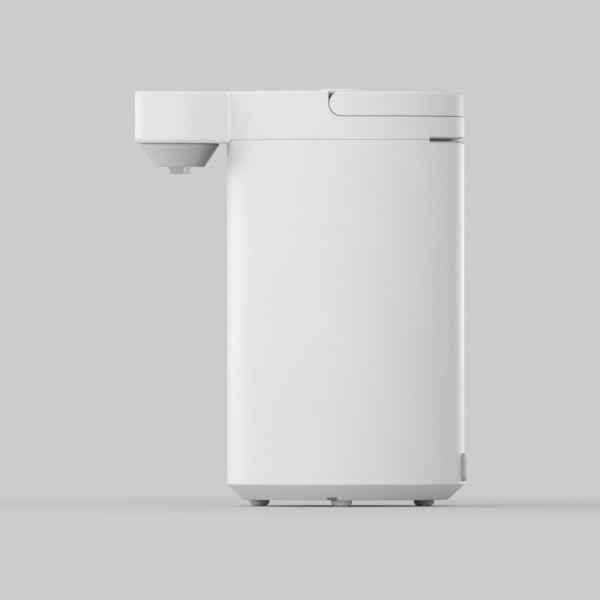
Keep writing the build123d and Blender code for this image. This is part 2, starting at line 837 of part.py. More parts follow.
# Cradle: a ring on the base that carries the pot, with a gateway for the pump and windows
cradle_r = cradle_d / 2
screw_ring_r = cradle_r - cradle_wall / 2
with BuildPart() as pot_cradle:
    with BuildSketch(side):
        ring_profile(cradle_r - cradle_wall, cradle_r, floor_z, pot_z)
    revolve(axis=body_axis)
    with BuildSketch(level(floor_z)):
        with PolarLocations(screw_ring_r, 4, start_angle=45):
            Circle(boss_d / 2)
    extrude(amount=boss_h)
    with BuildSketch(Plane((0, axis_y, floor_z), x_dir=(1, 0, 0), z_dir=(0, -1, 0))):
        with Locations((0, -over_cut)):
            Rectangle(window_w, machine_h - arch_h + over_cut, align=(Align.CENTER, Align.MIN))
    extrude(amount=body_r, mode=Mode.SUBTRACT)
    for turn in (0, 90, 180):
        window_plane = Plane(
            origin=(0, axis_y, floor_z + machine_h / 2),
            x_dir=Vector(0, 1, 0).rotate(Axis.Z, turn),
            z_dir=Vector(1, 0, 0).rotate(Axis.Z, turn),
        )
        with BuildSketch(window_plane):
            RectangleRounded(window_w, machine_h - 2 * arch_h, arch_h / 2)
        extrude(amount=body_r, mode=Mode.SUBTRACT)
    with BuildSketch(level(floor_z)):
        with PolarLocations(screw_ring_r, 4, start_angle=45):
            Circle(screw_d / 2 + seat_fit)
    extrude(amount=screw_l, mode=Mode.SUBTRACT)
save(pot_cradle, "pot_cradle")

# Heating plate under the pot with its ring element, and the thermostat in its middle
heater_z = pot_z - heater_t
with BuildPart() as heater_plate:
    with BuildSketch(level(heater_z)):
        Circle(heater_d / 2)
    extrude(amount=heater_t)
    with BuildSketch(side):
        with Locations((element_d / 2, heater_z)):
            Circle(element_r)
            Rectangle(3 * element_r, 2 * element_r, align=(Align.CENTER, Align.MIN), mode=Mode.SUBTRACT)
    revolve(axis=body_axis)
save(heater_plate, "heater_plate")

with BuildPart() as thermostat:
    with BuildSketch(level(heater_z)):
        Circle(thermostat_d / 2)
    extrude(amount=-thermostat_h / 2)
    with BuildSketch(level(heater_z - thermostat_h / 2)):
        Circle(thermostat_d / 3)
    extrude(amount=-thermostat_h / 2)
    with BuildSketch(level(heater_z - thermostat_h / 2)):
        with Locations((-thermostat_d / 3, 0), (thermostat_d / 3, 0)):
            Rectangle(contact_d / 4, contact_d)
    extrude(amount=-thermostat_h)
save(thermostat, "thermostat")

# Pump on top of its motor, which stands in a socket of the base
pump_z = floor_z + motor_h
chamber_z = pump_z + pump_floor_t
cover_z = chamber_z + pump_chamber_h
outlet_z = chamber_z + pump_chamber_h / 2
port_r = tube_bore / 2 - seat_fit
with BuildPart() as pump_housing:
    with BuildSketch(level(pump_z, drain_y)):
        Circle(pump_d / 2)
    extrude(amount=pump_floor_t + pump_chamber_h)
    with BuildSketch(level(chamber_z, drain_y)):
        Circle(pump_chamber_d / 2)
    extrude(amount=pump_chamber_h, mode=Mode.SUBTRACT)
    with BuildSketch(level(pump_z, drain_y)):
        Circle(shaft_d / 2 + running_fit)
    extrude(amount=pump_floor_t, mode=Mode.SUBTRACT)
    outlet_plane = Plane((0, axis_y + drain_y, outlet_z), x_dir=(1, 0, 0), z_dir=(0, -1, 0))
    with BuildSketch(outlet_plane.offset((pump_d + pump_chamber_d) / 4)):
        Circle(port_r)
    extrude(amount=(pump_d - pump_chamber_d) / 4 + port_l)
    with BuildSketch(outlet_plane):
        Circle(port_r - port_wall)
    extrude(amount=pump_d / 2 + port_l, mode=Mode.SUBTRACT)
save(pump_housing, "pump_housing")

with BuildPart() as pump_cover:
    with BuildSketch(level(cover_z, drain_y)):
        Circle(pump_d / 2)
    extrude(amount=pump_cover_t)
    with BuildSketch(level(cover_z, drain_y)):
        Circle(drain_d / 2)
    extrude(amount=pump_cover_t + hose_l - drain_l - free_gap)
    with BuildSketch(level(cover_z, drain_y)):
        Circle(drain_d / 2 - drain_wall)
    extrude(amount=pump_cover_t + hose_l, mode=Mode.SUBTRACT)
save(pump_cover, "pump_cover")

with BuildPart() as pump_impeller:
    with BuildSketch(level(chamber_z + free_gap, drain_y)):
        Circle(impeller_d / 2)
    extrude(amount=blade_t)
    with BuildSketch(level(chamber_z + free_gap, drain_y)):
        Circle(hub_d / 2)
        with PolarLocations(impeller_d / 4, blades):
            Rectangle(impeller_d / 2 - free_gap, blade_t)
    extrude(amount=impeller_h)
    with BuildSketch(level(chamber_z, drain_y)):
        Circle(shaft_d / 2 + seat_fit)
    extrude(amount=free_gap + impeller_h, mode=Mode.SUBTRACT)
save(pump_impeller, "pump_impeller")

with BuildPart() as motor_shaft:
    with BuildSketch(level(chamber_z + free_gap + impeller_h, drain_y)):
        Circle(shaft_d / 2)
    extrude(amount=-shaft_l)
save(motor_shaft, "motor_shaft")

with BuildPart() as pump_motor:
    with BuildSketch(level(floor_z, drain_y)):
        Circle(motor_d / 2)
    extrude(amount=motor_h)
    chamfer(pump_motor.edges().group_by(Axis.Z)[0], edge_round / 2)
    with BuildSketch(level(pump_z, drain_y)):
        Circle(shaft_d / 2 + running_fit)
    extrude(amount=-shaft_l, mode=Mode.SUBTRACT)
save(pump_motor, "pump_motor")

# Suction hose from the pot's drain to the pump, pushed over both nipples
with BuildPart() as suction_hose:
    with BuildSketch(level(cover_z + pump_cover_t, drain_y)):
        Circle(drain_d / 2 + seat_fit + hose_wall)
        Circle(drain_d / 2 + seat_fit, mode=Mode.SUBTRACT)
    extrude(amount=hose_l)
save(suction_hose, "suction_hose")

# Outlet tube: from the pump up the front of the pot, over into the arm and down to the nozzle
tube_start_y = drain_y - pump_d / 2 - fit
tube_top_z = seam_z + tube_level
with BuildPart() as outlet_tube:
    with BuildLine(side) as tube_route:
        FilletPolyline(
            (tube_start_y, outlet_z),
            (tube_y, outlet_z),
            (tube_y, tube_top_z),
            (-nozzle_off, tube_top_z),
            (-nozzle_off, socket_z + fit),
            radius=[tube_elbow, tube_bend, tube_bend],
        )
    route = tube_route.wire()
    with BuildSketch(Plane(origin=route @ 0, z_dir=route % 0)):
        Circle(tube_d / 2)
        Circle(tube_bore / 2, mode=Mode.SUBTRACT)
    sweep(path=route)
save(outlet_tube, "outlet_tube")

# Base cover: tapered pan with a spigot into the shell, screw holes, foot holes and supports
with BuildPart() as base_cover:
    with BuildSketch(side):
        with BuildLine():
            Polyline(
                (0, foot_h),
                (body_r - base_taper, foot_h),
                (body_r, base_z),
                (shell_r - fit, base_z),
                (shell_r - fit, base_z + spigot_h),
                (shell_r - fit - spigot_t, base_z + spigot_h),
                (shell_r - fit - spigot_t, base_z),
                (body_r - base_taper - base_wall, floor_z),
                (0, floor_z),
                close=True,
            )
        make_face()
    revolve(axis=body_axis)
    with BuildSketch(level(base_z)):
        with Locations((0, body_r)):
            Rectangle(inlet_w + 2 * (inlet_flange + inlet_edge), body_r / 2)
    extrude(amount=spigot_h, mode=Mode.SUBTRACT)
    with BuildSketch(level(floor_z, drain_y)):
        Circle(motor_d / 2 + fit + socket_wall)
        Circle(motor_d / 2 + fit, mode=Mode.SUBTRACT)
    extrude(amount=socket_h)
    with BuildSketch(level(floor_z, power_y)):
        with GridLocations(power_w - 2 * power_post_d, power_l - 2 * power_post_d, 2, 2):
            Circle(power_post_d / 2)
    extrude(amount=power_post_h)
    with BuildSketch(level(foot_h, foot_y)):
        with PolarLocations(foot_ring_d / 2, 4):
            Circle(foot_stem_d / 2 + seat_fit)
    extrude(amount=base_wall, mode=Mode.SUBTRACT)
    with Locations(Plane((0, axis_y, foot_h), z_dir=(0, 0, -1))):
        with PolarLocations(screw_ring_r, 4, start_angle=45):
            CounterBoreHole(screw_d / 2 + fit, screw_head_d / 2 + fit, screw_head_h + seat_fit, base_wall)
    with BuildSketch(level(foot_h)):
        with GridLocations(0, 2 * vent_pitch, 1, 5):
            SlotOverall(base_slot_l, vent_pitch / 2)
    extrude(amount=base_wall, mode=Mode.SUBTRACT)
save(base_cover, "base_cover")

# Feet with a stem in the base
with BuildPart() as feet:
    with BuildSketch(level(0, foot_y)):
        with PolarLocations(foot_ring_d / 2, 4):
            Circle(foot_d / 2)
    extrude(amount=foot_h)
    fillet(feet.edges().group_by(Axis.Z)[0], foot_round)
    with BuildSketch(level(foot_h, foot_y)):
        with PolarLocations(foot_ring_d / 2, 4):
            Circle(foot_stem_d / 2)
    extrude(amount=base_wall - fit)
save(feet, "feet")

# Screws from below, through the base into the cradle
with BuildPart() as base_screws:
    with BuildSketch(level(foot_h + seat_fit)):
        with PolarLocations(screw_ring_r, 4, start_angle=45):
            Circle(screw_head_d / 2)
    extrude(amount=screw_head_h)
    with BuildSketch(level(foot_h + seat_fit)):
        with PolarLocations(screw_ring_r, 4, start_angle=45):
            Circle(screw_d / 2)
    extrude(amount=screw_l)
save(base_screws, "base_screws")

# Power inlet: a moulded block through the rear wall with a shallow magnetic socket
inlet_plane = Plane((0, axis_y + inlet_face_y, inlet_z), x_dir=(-1, 0, 0), z_dir=(0, 1, 0))
with BuildPart() as power_inlet:
    with BuildSketch(inlet_plane):
        RectangleRounded(inlet_w, inlet_h, inlet_corner)
    extrude(amount=-inlet_depth)
    fillet(power_inlet.faces().sort_by(Axis.Y)[-1].edges(), inlet_edge)
    with BuildSketch(inlet_plane.offset(-inlet_depth)):
        RectangleRounded(inlet_w + 2 * inlet_flange, inlet_h + inlet_flange, inlet_corner)
    extrude(amount=inlet_flange_t)
    with BuildSketch(inlet_plane):
        RectangleRounded(inlet_w - 2 * inlet_wall, inlet_h - 2 * inlet_wall, inlet_corner - inlet_wall / 2)
    extrude(amount=-inlet_recess, mode=Mode.SUBTRACT)
    with BuildSketch(inlet_plane):
        with GridLocations(contact_pitch, 0, 3, 1):
            Circle(contact_d / 2 + seat_fit)
    extrude(amount=-inlet_depth, mode=Mode.SUBTRACT)
save(power_inlet, "power_inlet")

with BuildPart() as inlet_contacts:
    with BuildSketch(inlet_plane.offset(contact_out - inlet_recess)):
        with GridLocations(contact_pitch, 0, 3, 1):
            Circle(contact_d / 2)
    extrude(amount=-contact_l)
    fillet(inlet_contacts.edges().group_by(Axis.Y)[-1], contact_d / 4)
save(inlet_contacts, "inlet_contacts")

# Power board on four posts, with its transformer, relay and capacitors
board_z = floor_z + power_post_h
with BuildPart() as power_board:
    with BuildSketch(level(board_z, power_y)):
        Rectangle(power_w, power_l)
    extrude(amount=board_t)
    with BuildSketch(level(board_z + board_t, power_y)):
        with Locations((-power_w / 4, 0)):
            Rectangle(power_w / 3, power_l / 2)
    extrude(amount=transformer_h)
    with BuildSketch(level(board_z + board_t, power_y)):
        with Locations((power_w / 8, -power_l / 5)):
            Rectangle(power_w / 4, power_l / 3)
    extrude(amount=relay_h)
    with BuildSketch(level(board_z + board_t, power_y)):
        with Locations((power_w / 3, power_l / 5), (power_w / 8, power_l / 4)):
            Circle(capacitor_d / 2)
    extrude(amount=capacitor_h)
save(power_board, "power_board")
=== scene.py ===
"""Hot water dispenser: materials, three pieces of its own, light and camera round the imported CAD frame."""
import json
import math

import bmesh
import bpy
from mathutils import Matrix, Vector


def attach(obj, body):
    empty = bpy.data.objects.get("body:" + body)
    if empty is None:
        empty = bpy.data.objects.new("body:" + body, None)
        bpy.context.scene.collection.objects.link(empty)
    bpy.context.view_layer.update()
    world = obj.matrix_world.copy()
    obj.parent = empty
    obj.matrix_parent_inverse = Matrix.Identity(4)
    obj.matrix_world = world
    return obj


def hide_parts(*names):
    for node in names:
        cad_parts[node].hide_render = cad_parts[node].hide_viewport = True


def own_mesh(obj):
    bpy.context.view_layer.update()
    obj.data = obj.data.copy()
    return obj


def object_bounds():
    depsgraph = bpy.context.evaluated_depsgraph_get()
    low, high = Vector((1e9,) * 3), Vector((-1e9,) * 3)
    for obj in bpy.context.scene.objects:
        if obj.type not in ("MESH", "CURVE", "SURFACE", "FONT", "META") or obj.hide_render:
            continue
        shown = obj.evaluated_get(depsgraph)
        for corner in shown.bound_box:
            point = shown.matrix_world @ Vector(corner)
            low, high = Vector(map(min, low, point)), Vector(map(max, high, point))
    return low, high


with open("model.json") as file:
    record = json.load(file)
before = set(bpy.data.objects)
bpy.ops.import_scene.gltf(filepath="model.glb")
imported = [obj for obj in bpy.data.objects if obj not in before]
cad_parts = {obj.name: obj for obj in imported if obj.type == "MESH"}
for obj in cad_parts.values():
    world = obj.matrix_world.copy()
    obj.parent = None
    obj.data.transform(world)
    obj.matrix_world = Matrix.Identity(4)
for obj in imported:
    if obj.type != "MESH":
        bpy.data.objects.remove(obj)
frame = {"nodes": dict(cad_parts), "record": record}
nodes = frame["nodes"]
cad_low, cad_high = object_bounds()

# Sizes in metres, in the part's own frame: +Z up, the spout arm towards -Y.
AXIS_Y = 0.0387
BODY_R = 0.1025
NOZZLE_Y = -0.1045
SEAM_Z = 0.31585


def in_scene(name, data):
    """A new object with that data, linked to the scene."""
    made = bpy.data.objects.new(name, data)
    bpy.context.scene.collection.objects.link(made)
    return made


# Shader nodes.
NOISE_LOW, NOISE_HIGH = 0.3, 0.7
EDGE_SAMPLES = 6


def material(name):
    """A new node material with its tree and its Principled shader."""
    made = bpy.data.materials.new(name)
    made.use_nodes = True
    tree = made.node_tree
    return made, tree, tree.nodes["Principled BSDF"]


def add(tree, kind, **values):
    """A node of that kind. A value is set on the input socket of that name, or else on the node itself."""
    node = tree.nodes.new(kind)
    for key, value in values.items():
        socket = key.replace("_", " ").title()
        if socket in node.inputs:
            node.inputs[socket].default_value = value
        else:
            setattr(node, key, value)
    return node


def coordinates(tree, scale=(1.0, 1.0, 1.0)):
    """The object's own coordinates in metres, scaled along each axis."""
    texture = add(tree, "ShaderNodeTexCoord")
    mapping = add(tree, "ShaderNodeMapping", scale=scale)
    tree.links.new(texture.outputs["Object"], mapping.inputs["Vector"])
    return mapping.outputs["Vector"]


def noise(tree, vector, scale, detail=2.0, roughness=0.5):
    """Smooth noise, most of it from NOISE_LOW to NOISE_HIGH."""
    node = add(tree, "ShaderNodeTexNoise", scale=scale, detail=detail, roughness=roughness)
    tree.links.new(vector, node.inputs["Vector"])
    return node.outputs["Fac"]


def between(tree, value, low, high, low_in=NOISE_LOW, high_in=NOISE_HIGH):
    """The value carried from low_in..high_in to low..high, held at both ends."""
    node = add(tree, "ShaderNodeMapRange", from_min=low_in, from_max=high_in, to_min=low, to_max=high)
    tree.links.new(value, node.inputs["Value"])
    return node.outputs["Result"]


def shades(tree, value, dark, light):
    """A colour from dark to light as the noise value goes from low to high."""
    ramp = add(tree, "ShaderNodeValToRGB")
    first, second = ramp.color_ramp.elements
    first.position, second.position = NOISE_LOW, NOISE_HIGH
    first.color, second.color = (*dark, 1.0), (*light, 1.0)
    tree.links.new(value, ramp.inputs["Fac"])
    return ramp.outputs["Color"]


def bump(tree, height, shader, strength, distance, edge=0.0):
    """Fine relief from the height, over edges that look rounded to that radius."""
    node = add(tree, "ShaderNodeBump", strength=strength, distance=distance)
    tree.links.new(height, node.inputs["Height"])
    tree.links.new(node.outputs["Normal"], shader.inputs["Normal"])
    if edge:
        rounded = add(tree, "ShaderNodeBevel", radius=edge, samples=EDGE_SAMPLES)
        tree.links.new(rounded.outputs["Normal"], node.inputs["Normal"])


def vector_step(tree, vector, operation, other=(0.0, 0.0, 0.0)):
    """One step of vector arithmetic, which gives a number for LENGTH and else a vector."""
    node = add(tree, "ShaderNodeVectorMath", operation=operation)
    tree.links.new(vector, node.inputs[0])
    node.inputs[1].default_value = other
    return node.outputs["Value" if operation == "LENGTH" else "Vector"]


def level_part(tree, vector):
    """The vector without its height."""
    return vector_step(tree, vector, "MULTIPLY", (1.0, 1.0, 0.0))


def split(tree, vector):
    """The vector's three numbers."""
    parts = add(tree, "ShaderNodeSeparateXYZ")
    tree.links.new(vector, parts.inputs["Vector"])
    return parts.outputs["X"], parts.outputs["Y"], parts.outputs["Z"]


def largest(tree, first, *others):
    """The largest of the values."""
    for other in others:
        node = add(tree, "ShaderNodeMath", operation="MAXIMUM")
        tree.links.new(first, node.inputs[0])
        tree.links.new(other, node.inputs[1])
        first = node.outputs["Value"]
    return first


def scaled(tree, colour, shade):
    """The colour times the shade."""
    node = add(tree, "ShaderNodeVectorMath", operation="SCALE")
    tree.links.new(colour, node.inputs[0])
    tree.links.new(shade, node.inputs["Scale"])
    return node.outputs["Vector"]


def seen_directly(tree):
    """1 for rays from the camera, and for those that mirror or pass through, else 0."""
    path = add(tree, "ShaderNodeLightPath")
    return largest(tree, *(path.outputs[f"Is {ray} Ray"] for ray in ("Camera", "Glossy", "Transmission")))


# Painted shade and light by place on the part: 1 leaves the colour as it is, less is darker, more is
# lighter.
GROOVE_H = 0.0054
GROOVE_DEPTH = 0.007
GROOVE_LIP = 0.0006
GROOVE_Y = 0.066
GROOVE_END = 0.001
GROOVE_PAINTED_SHADE = 0.36
GROOVE_REAR = 0.85
GROOVE_REAR_FROM, GROOVE_REAR_TO = 0.083, 0.093
POCKET_IN, POCKET_OUT = 0.0885, 0.0903
POCKET_FRONT, POCKET_REAR = -0.0155, -0.008
POCKET_TOP = 0.0395
POCKET_EDGE = 0.0012
POCKET_PAINTED_SHADE = 0.30
# The inlet's painted shade on its sides and in its socket.
INLET_SHADE_FROM, INLET_SHADE_TO = 0.1410, 0.1418
INLET_SIDE_PAINTED_SHADE = 0.70
# How far the cone's side faces the body, from -1 at its front to 1 at its rear.
CONE_FRONT, CONE_REAR, CONE_END = -0.86, 0.58, 0.91
# The cone's painted light at its front and painted shade where it faces the body.
CONE_PAINTED_LIGHT, CONE_MIDDLE, CONE_PAINTED_SHADE = 1.30, 0.82, 0.50


def from_axis(tree, place):
    """How far the place is out from the body's axis, behind it and above the seam."""
    away = vector_step(tree, place, "SUBTRACT", (0.0, AXIS_Y, SEAM_Z))
    out = vector_step(tree, level_part(tree, away), "LENGTH")
    _, behind, above = split(tree, away)
    return out, behind, above


def groove_painted_shade(tree, colour, place):
    """Painted shade: the colour darker with depth in the vent groove round the rear of the seam, less so at
    its middle.
    """
    out, behind, above = from_axis(tree, place)
    shade = largest(
        tree,
        between(tree, out, GROOVE_PAINTED_SHADE, 1.0, BODY_R - GROOVE_DEPTH, BODY_R - GROOVE_LIP),
        between(tree, behind, 0.0, GROOVE_REAR, GROOVE_REAR_FROM, GROOVE_REAR_TO),
        between(tree, above, 0.0, 1.0, GROOVE_H / 2, GROOVE_H),
        between(tree, above, 1.0, 0.0, -GROOVE_H, -GROOVE_H / 2),
        between(tree, behind, 1.0, 0.0, GROOVE_Y - GROOVE_END, GROOVE_Y),
    )
    return scaled(tree, colour, shade)


def pocket_painted_shade(tree, colour, place):
    """Painted shade: the colour darker on the wall behind the front of each handle pocket."""
    out, behind, above = from_axis(tree, place)
    shade = largest(
        tree,
        between(tree, out, POCKET_PAINTED_SHADE, 1.0, POCKET_OUT, POCKET_OUT + POCKET_EDGE),
        between(tree, out, 1.0, POCKET_PAINTED_SHADE, POCKET_IN - POCKET_EDGE, POCKET_IN),
        between(tree, above, POCKET_PAINTED_SHADE, 1.0, POCKET_TOP, POCKET_TOP + POCKET_EDGE),
        between(tree, behind, 1.0, POCKET_PAINTED_SHADE, POCKET_FRONT - POCKET_EDGE, POCKET_FRONT),
        between(tree, behind, POCKET_PAINTED_SHADE, 1.0, POCKET_REAR, POCKET_REAR + POCKET_EDGE),
    )
    return scaled(tree, colour, shade)


def hollows_painted_shade(tree, colour, place):
    """Painted shade: the colour darker in the vent groove and in the handle pockets."""
    return pocket_painted_shade(tree, groove_painted_shade(tree, colour, place), place)


def inlet_painted_shade(tree, colour, place):
    """The inlet's colour, kept on its rounded face as its highlight, with painted shade on its sides and in
    its socket.
    """
    _, behind, _ = split(tree, place)
    return scaled(tree, colour, between(tree, behind, INLET_SIDE_PAINTED_SHADE, 1.0, INLET_SHADE_FROM, INLET_SHADE_TO))


def cone_painted_light_and_shade(tree, colour, place):
    """Painted light and shade: the nozzle cone lighter where it faces the front, darker where it faces the
    body.
    """
    from_middle = vector_step(tree, place, "SUBTRACT", (0.0, NOZZLE_Y, 0.0))
    facing = vector_step(tree, level_part(tree, from_middle), "NORMALIZE")
    _, to_body, _ = split(tree, facing)
    front = between(tree, to_body, CONE_PAINTED_LIGHT, CONE_MIDDLE, CONE_FRONT, CONE_REAR)
    rear = between(tree, to_body, 1.0, CONE_PAINTED_SHADE, CONE_REAR, CONE_END)
    return scaled(tree, scaled(tree, colour, front), rear)


# Materials.
PLASTIC_SPECULAR = 0.39
PLASTIC_ROUGH_LESS, PLASTIC_ROUGH_MORE = 0.03, 0.04
PLASTIC_LIGHT_SHARE = 0.4
SOFT_EDGE = 0.0012
METAL_DARK, METAL_LIGHT = 0.94, 1.03
BLOOM_DARK, BLOOM_LIGHT = 0.93, 1.04
BLOOM_ROUGH = 0.06
KEY_OFF = 0.0105
KEY_R = 0.0052
KEY_LINE = 0.0005


def grey(level):
    """A neutral colour."""
    return (level, level, level)


def tinted(colour, factor):
    """The colour times the factor, at most full white."""
    return tuple(min(1.0, channel * factor) for channel in colour)


def moulded(name, colour, rough, grain=0.00004, variation=0.02, shading=hollows_painted_shade):
    """Injection moulded plastic: fine spark-eroded grain, slow change of shade and of gloss, soft edges."""
    made, tree, shader = material(name)
    place = coordinates(tree)
    slow = noise(tree, place, scale=16.0, detail=4.0, roughness=0.55)
    fine = noise(tree, place, scale=2600.0, roughness=0.6)
    dark, light = tinted(colour, 1.0 - variation), tinted(colour, 1.0 + PLASTIC_LIGHT_SHARE * variation)
    tree.links.new(shading(tree, shades(tree, slow, dark, light), place), shader.inputs["Base Color"])
    uneven = between(tree, slow, rough - PLASTIC_ROUGH_LESS, rough + PLASTIC_ROUGH_MORE)
    tree.links.new(uneven, shader.inputs["Roughness"])
    shader.inputs["Specular IOR Level"].default_value = PLASTIC_SPECULAR
    bump(tree, fine, shader, strength=0.35, distance=grain, edge=SOFT_EDGE)
    return made


def metal(name, colour, low_rough, high_rough, line_scale, scratch=0.00002):
    """Metal with fine lines along the axis that has the smallest scale, or a plain grain if none has."""
    made, tree, shader = material(name)
    lines = noise(tree, coordinates(tree, line_scale), scale=900.0, detail=3.0, roughness=0.6)
    stain = noise(tree, coordinates(tree), scale=30.0, detail=3.0)
    shade = shades(tree, stain, tinted(colour, METAL_DARK), tinted(colour, METAL_LIGHT))
    tree.links.new(shade, shader.inputs["Base Color"])
    tree.links.new(between(tree, lines, low_rough, high_rough), shader.inputs["Roughness"])
    shader.inputs["Metallic"].default_value = 1.0
    bump(tree, lines, shader, strength=0.3, distance=scratch)
    return made


def rubbery(name, colour, rough, pore_scale, pore_depth):
    """Rubber, silicone or felt: matt, with a bloom that differs from place to place."""
    made, tree, shader = material(name)
    place = coordinates(tree)
    bloom = noise(tree, place, scale=60.0, detail=4.0, roughness=0.6)
    pores = noise(tree, place, scale=pore_scale, detail=3.0, roughness=0.65)
    shade = shades(tree, bloom, tinted(colour, BLOOM_DARK), tinted(colour, BLOOM_LIGHT))
    tree.links.new(shade, shader.inputs["Base Color"])
    uneven = between(tree, bloom, rough - BLOOM_ROUGH, rough + BLOOM_ROUGH)
    tree.links.new(uneven, shader.inputs["Roughness"])
    bump(tree, pores, shader, strength=0.4, distance=pore_depth)
    return made


def key_rings(tree, place):
    """1 on the thin rings of four touch keys round the middle of the panel, else 0."""
    from_middle = vector_step(tree, place, "SUBTRACT", (0.0, NOZZLE_Y, 0.0))
    folded = vector_step(tree, from_middle, "ABSOLUTE")
    from_key = vector_step(tree, level_part(tree, folded), "SUBTRACT", (KEY_OFF, KEY_OFF, 0.0))
    across = add(tree, "ShaderNodeMath", operation="SUBTRACT")
    tree.links.new(vector_step(tree, from_key, "LENGTH"), across.inputs[0])
    across.inputs[1].default_value = KEY_R
    away = add(tree, "ShaderNodeMath", operation="ABSOLUTE")
    tree.links.new(across.outputs["Value"], away.inputs[0])
    return between(tree, away.outputs["Value"], 1.0, 0.0, KEY_LINE / 2, KEY_LINE)


# Places of a Mix node's colour sockets, which share their names with its number sockets.
MIX_FIRST, MIX_SECOND, MIX_RESULT = 6, 7, 2


def touch_panel(name):
    """Black panel glass: a coat over a dark, slightly uneven print with faint rings for its keys."""
    made, tree, shader = material(name)
    place = coordinates(tree)
    film = noise(tree, place, scale=45.0, detail=4.0, roughness=0.6)
    printed = add(tree, "ShaderNodeMix", data_type="RGBA")
    tree.links.new(key_rings(tree, place), printed.inputs["Factor"])
    ground = shades(tree, film, dark=(0.012, 0.012, 0.014), light=(0.02, 0.02, 0.022))
    tree.links.new(ground, printed.inputs[MIX_FIRST])
    printed.inputs[MIX_SECOND].default_value = (*grey(0.4), 1.0)
    tree.links.new(printed.outputs[MIX_RESULT], shader.inputs["Base Color"])
    tree.links.new(between(tree, film, low=0.16, high=0.26), shader.inputs["Roughness"])
    shader.inputs["Specular IOR Level"].default_value = 0.3
    shader.inputs["Coat Weight"].default_value = 0.1
    shader.inputs["Coat Roughness"].default_value = 0.08
    bump(tree, noise(tree, place, scale=400.0), shader, strength=0.1, distance=0.00001)
    return made


def circuit_board(name):
    """Green solder mask with the shade of copper tracks under it."""
    made, tree, shader = material(name)
    tracks = add(tree, "ShaderNodeTexBrick", scale=120.0, mortar=(0.02, 0.1, 0.045, 1.0),
                 color1=(0.03, 0.16, 0.07, 1.0), color2=(0.04, 0.2, 0.09, 1.0))
    tree.links.new(coordinates(tree), tracks.inputs["Vector"])
    tree.links.new(tracks.outputs["Color"], shader.inputs["Base Color"])
    gaps = tracks.outputs["Fac"]
    tree.links.new(between(tree, gaps, 0.3, 0.45, low_in=0.0, high_in=1.0), shader.inputs["Roughness"])
    bump(tree, gaps, shader, strength=0.3, distance=0.00005)
    return made


finishes = {
    "white_plastic": moulded("white_plastic_moulded", grey(0.80), 0.42),
    "base_plastic": moulded("base_plastic_moulded", grey(0.76), 0.46),
    # The nozzle cone's grey is in part painted shade, with more painted light and shade by place over it.
    "nozzle_plastic": moulded("nozzle_plastic_grey", grey(0.51), 0.40, shading=cone_painted_light_and_shade),
    "button_plastic": moulded("button_plastic_moulded", grey(0.80), 0.30, grain=0.00002),
    "panel_glass": touch_panel("panel_glass_black"),
    "chrome": metal("chrome_polished", (0.66, 0.66, 0.67), 0.05, 0.10, (1.0, 1.0, 0.2), scratch=0.000004),
    "pot_steel": metal("pot_steel_drawn", (0.62, 0.61, 0.60), 0.24, 0.38, (1.0, 1.0, 0.02)),
    "pin_steel": metal("pin_steel_turned", grey(0.58), 0.22, 0.34, (0.05, 1.0, 1.0)),
    "brass": metal("brass_contacts", (0.72, 0.53, 0.22), 0.2, 0.32, (1.0, 0.1, 1.0)),
    "silicone": rubbery("silicone_white", (0.72, 0.72, 0.70), 0.48, 700.0, 0.00003),
    "foot_rubber": rubbery("foot_rubber_grey", grey(0.88), 0.62, 1200.0, 0.00005),
    # The inlet's light grey stands in for the highlight on its rounded face, with painted shade on its sides
    # and in its socket.
    "inlet_plastic": moulded("inlet_plastic_grey", grey(0.68), 0.34, shading=inlet_painted_shade),
    "inner_plastic": moulded("inner_plastic_dark", (0.12, 0.12, 0.125), 0.5, variation=0.05),
    "felt": rubbery("insulation_felt", (0.62, 0.6, 0.55), 0.9, 260.0, 0.0005),
    "board": circuit_board("circuit_board_green"),
    "aluminium": metal("aluminium_cast", (0.64, 0.64, 0.65), 0.42, 0.58, (1.0, 1.0, 1.0), scratch=0.00006),
}
slot_of = {row["node"]: row["material_slot"] for row in frame["record"]["subparts"]}
for name, piece in nodes.items():
    for slot in piece.material_slots:
        slot.material = finishes[slot_of[name]]


# The top housing with the photograph's rounder lower edge under the spout head and its neck.
HEAD_R = 0.0389
NECK_LEAN = math.radians(22.6)
ARM_Z = 0.3131
ARM_ROUND = 0.0028
HEAD_ROUND = 0.0046
ROUND_FIT = 0.00005
ROUND_FULL_Y, ROUND_PLAIN_Y = -0.067, -0.0625


def rounder_edge(mesh):
    """Widens the arm's lower rounding to the head's, fading out where the neck meets the body."""
    for vertex in mesh.vertices:
        x, y, z = vertex.co
        rise = z - ARM_Z
        angle = min(math.atan2(y - NOZZLE_Y, abs(x)), NECK_LEAN)
        inset = HEAD_R - abs(x) * math.cos(angle) - (y - NOZZLE_Y) * math.sin(angle)
        off_round = math.hypot(ARM_ROUND - inset, ARM_ROUND - rise) - ARM_ROUND
        if max(rise, inset) > ARM_ROUND + ROUND_FIT or abs(off_round) > ROUND_FIT:
            continue
        share = min(max((ROUND_PLAIN_Y - y) / (ROUND_PLAIN_Y - ROUND_FULL_Y), 0.0), 1.0)
        grow = share * (HEAD_ROUND / ARM_ROUND - 1.0)
        inward = grow * max(inset, 0.0)
        vertex.co = (x - math.copysign(inward * math.cos(angle), x), y - inward * math.sin(angle),
                     z + grow * max(rise, 0.0))


def top_moulding():
    """A copy of the top housing, with its material, that has the rounder edge."""
    mesh = nodes["top_housing"].data.copy()
    mesh.name = "top_moulding"
    rounder_edge(mesh)
    return in_scene("top_moulding", mesh)


housing = top_moulding()
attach(housing, "dispenser")
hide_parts("top_housing")


# Pieces swept from a row of rings.
def join_rings(work, rings):
    """Skin over a row of closed rings, with a flat cap at each end."""
    sides = len(rings[0])
    for first, second in zip(rings, rings[1:]):
        for side in range(sides):
            after = (side + 1) % sides
            work.faces.new((first[side], first[after], second[after], second[side]))
    work.faces.new(list(reversed(rings[0])))
    work.faces.new(rings[-1])


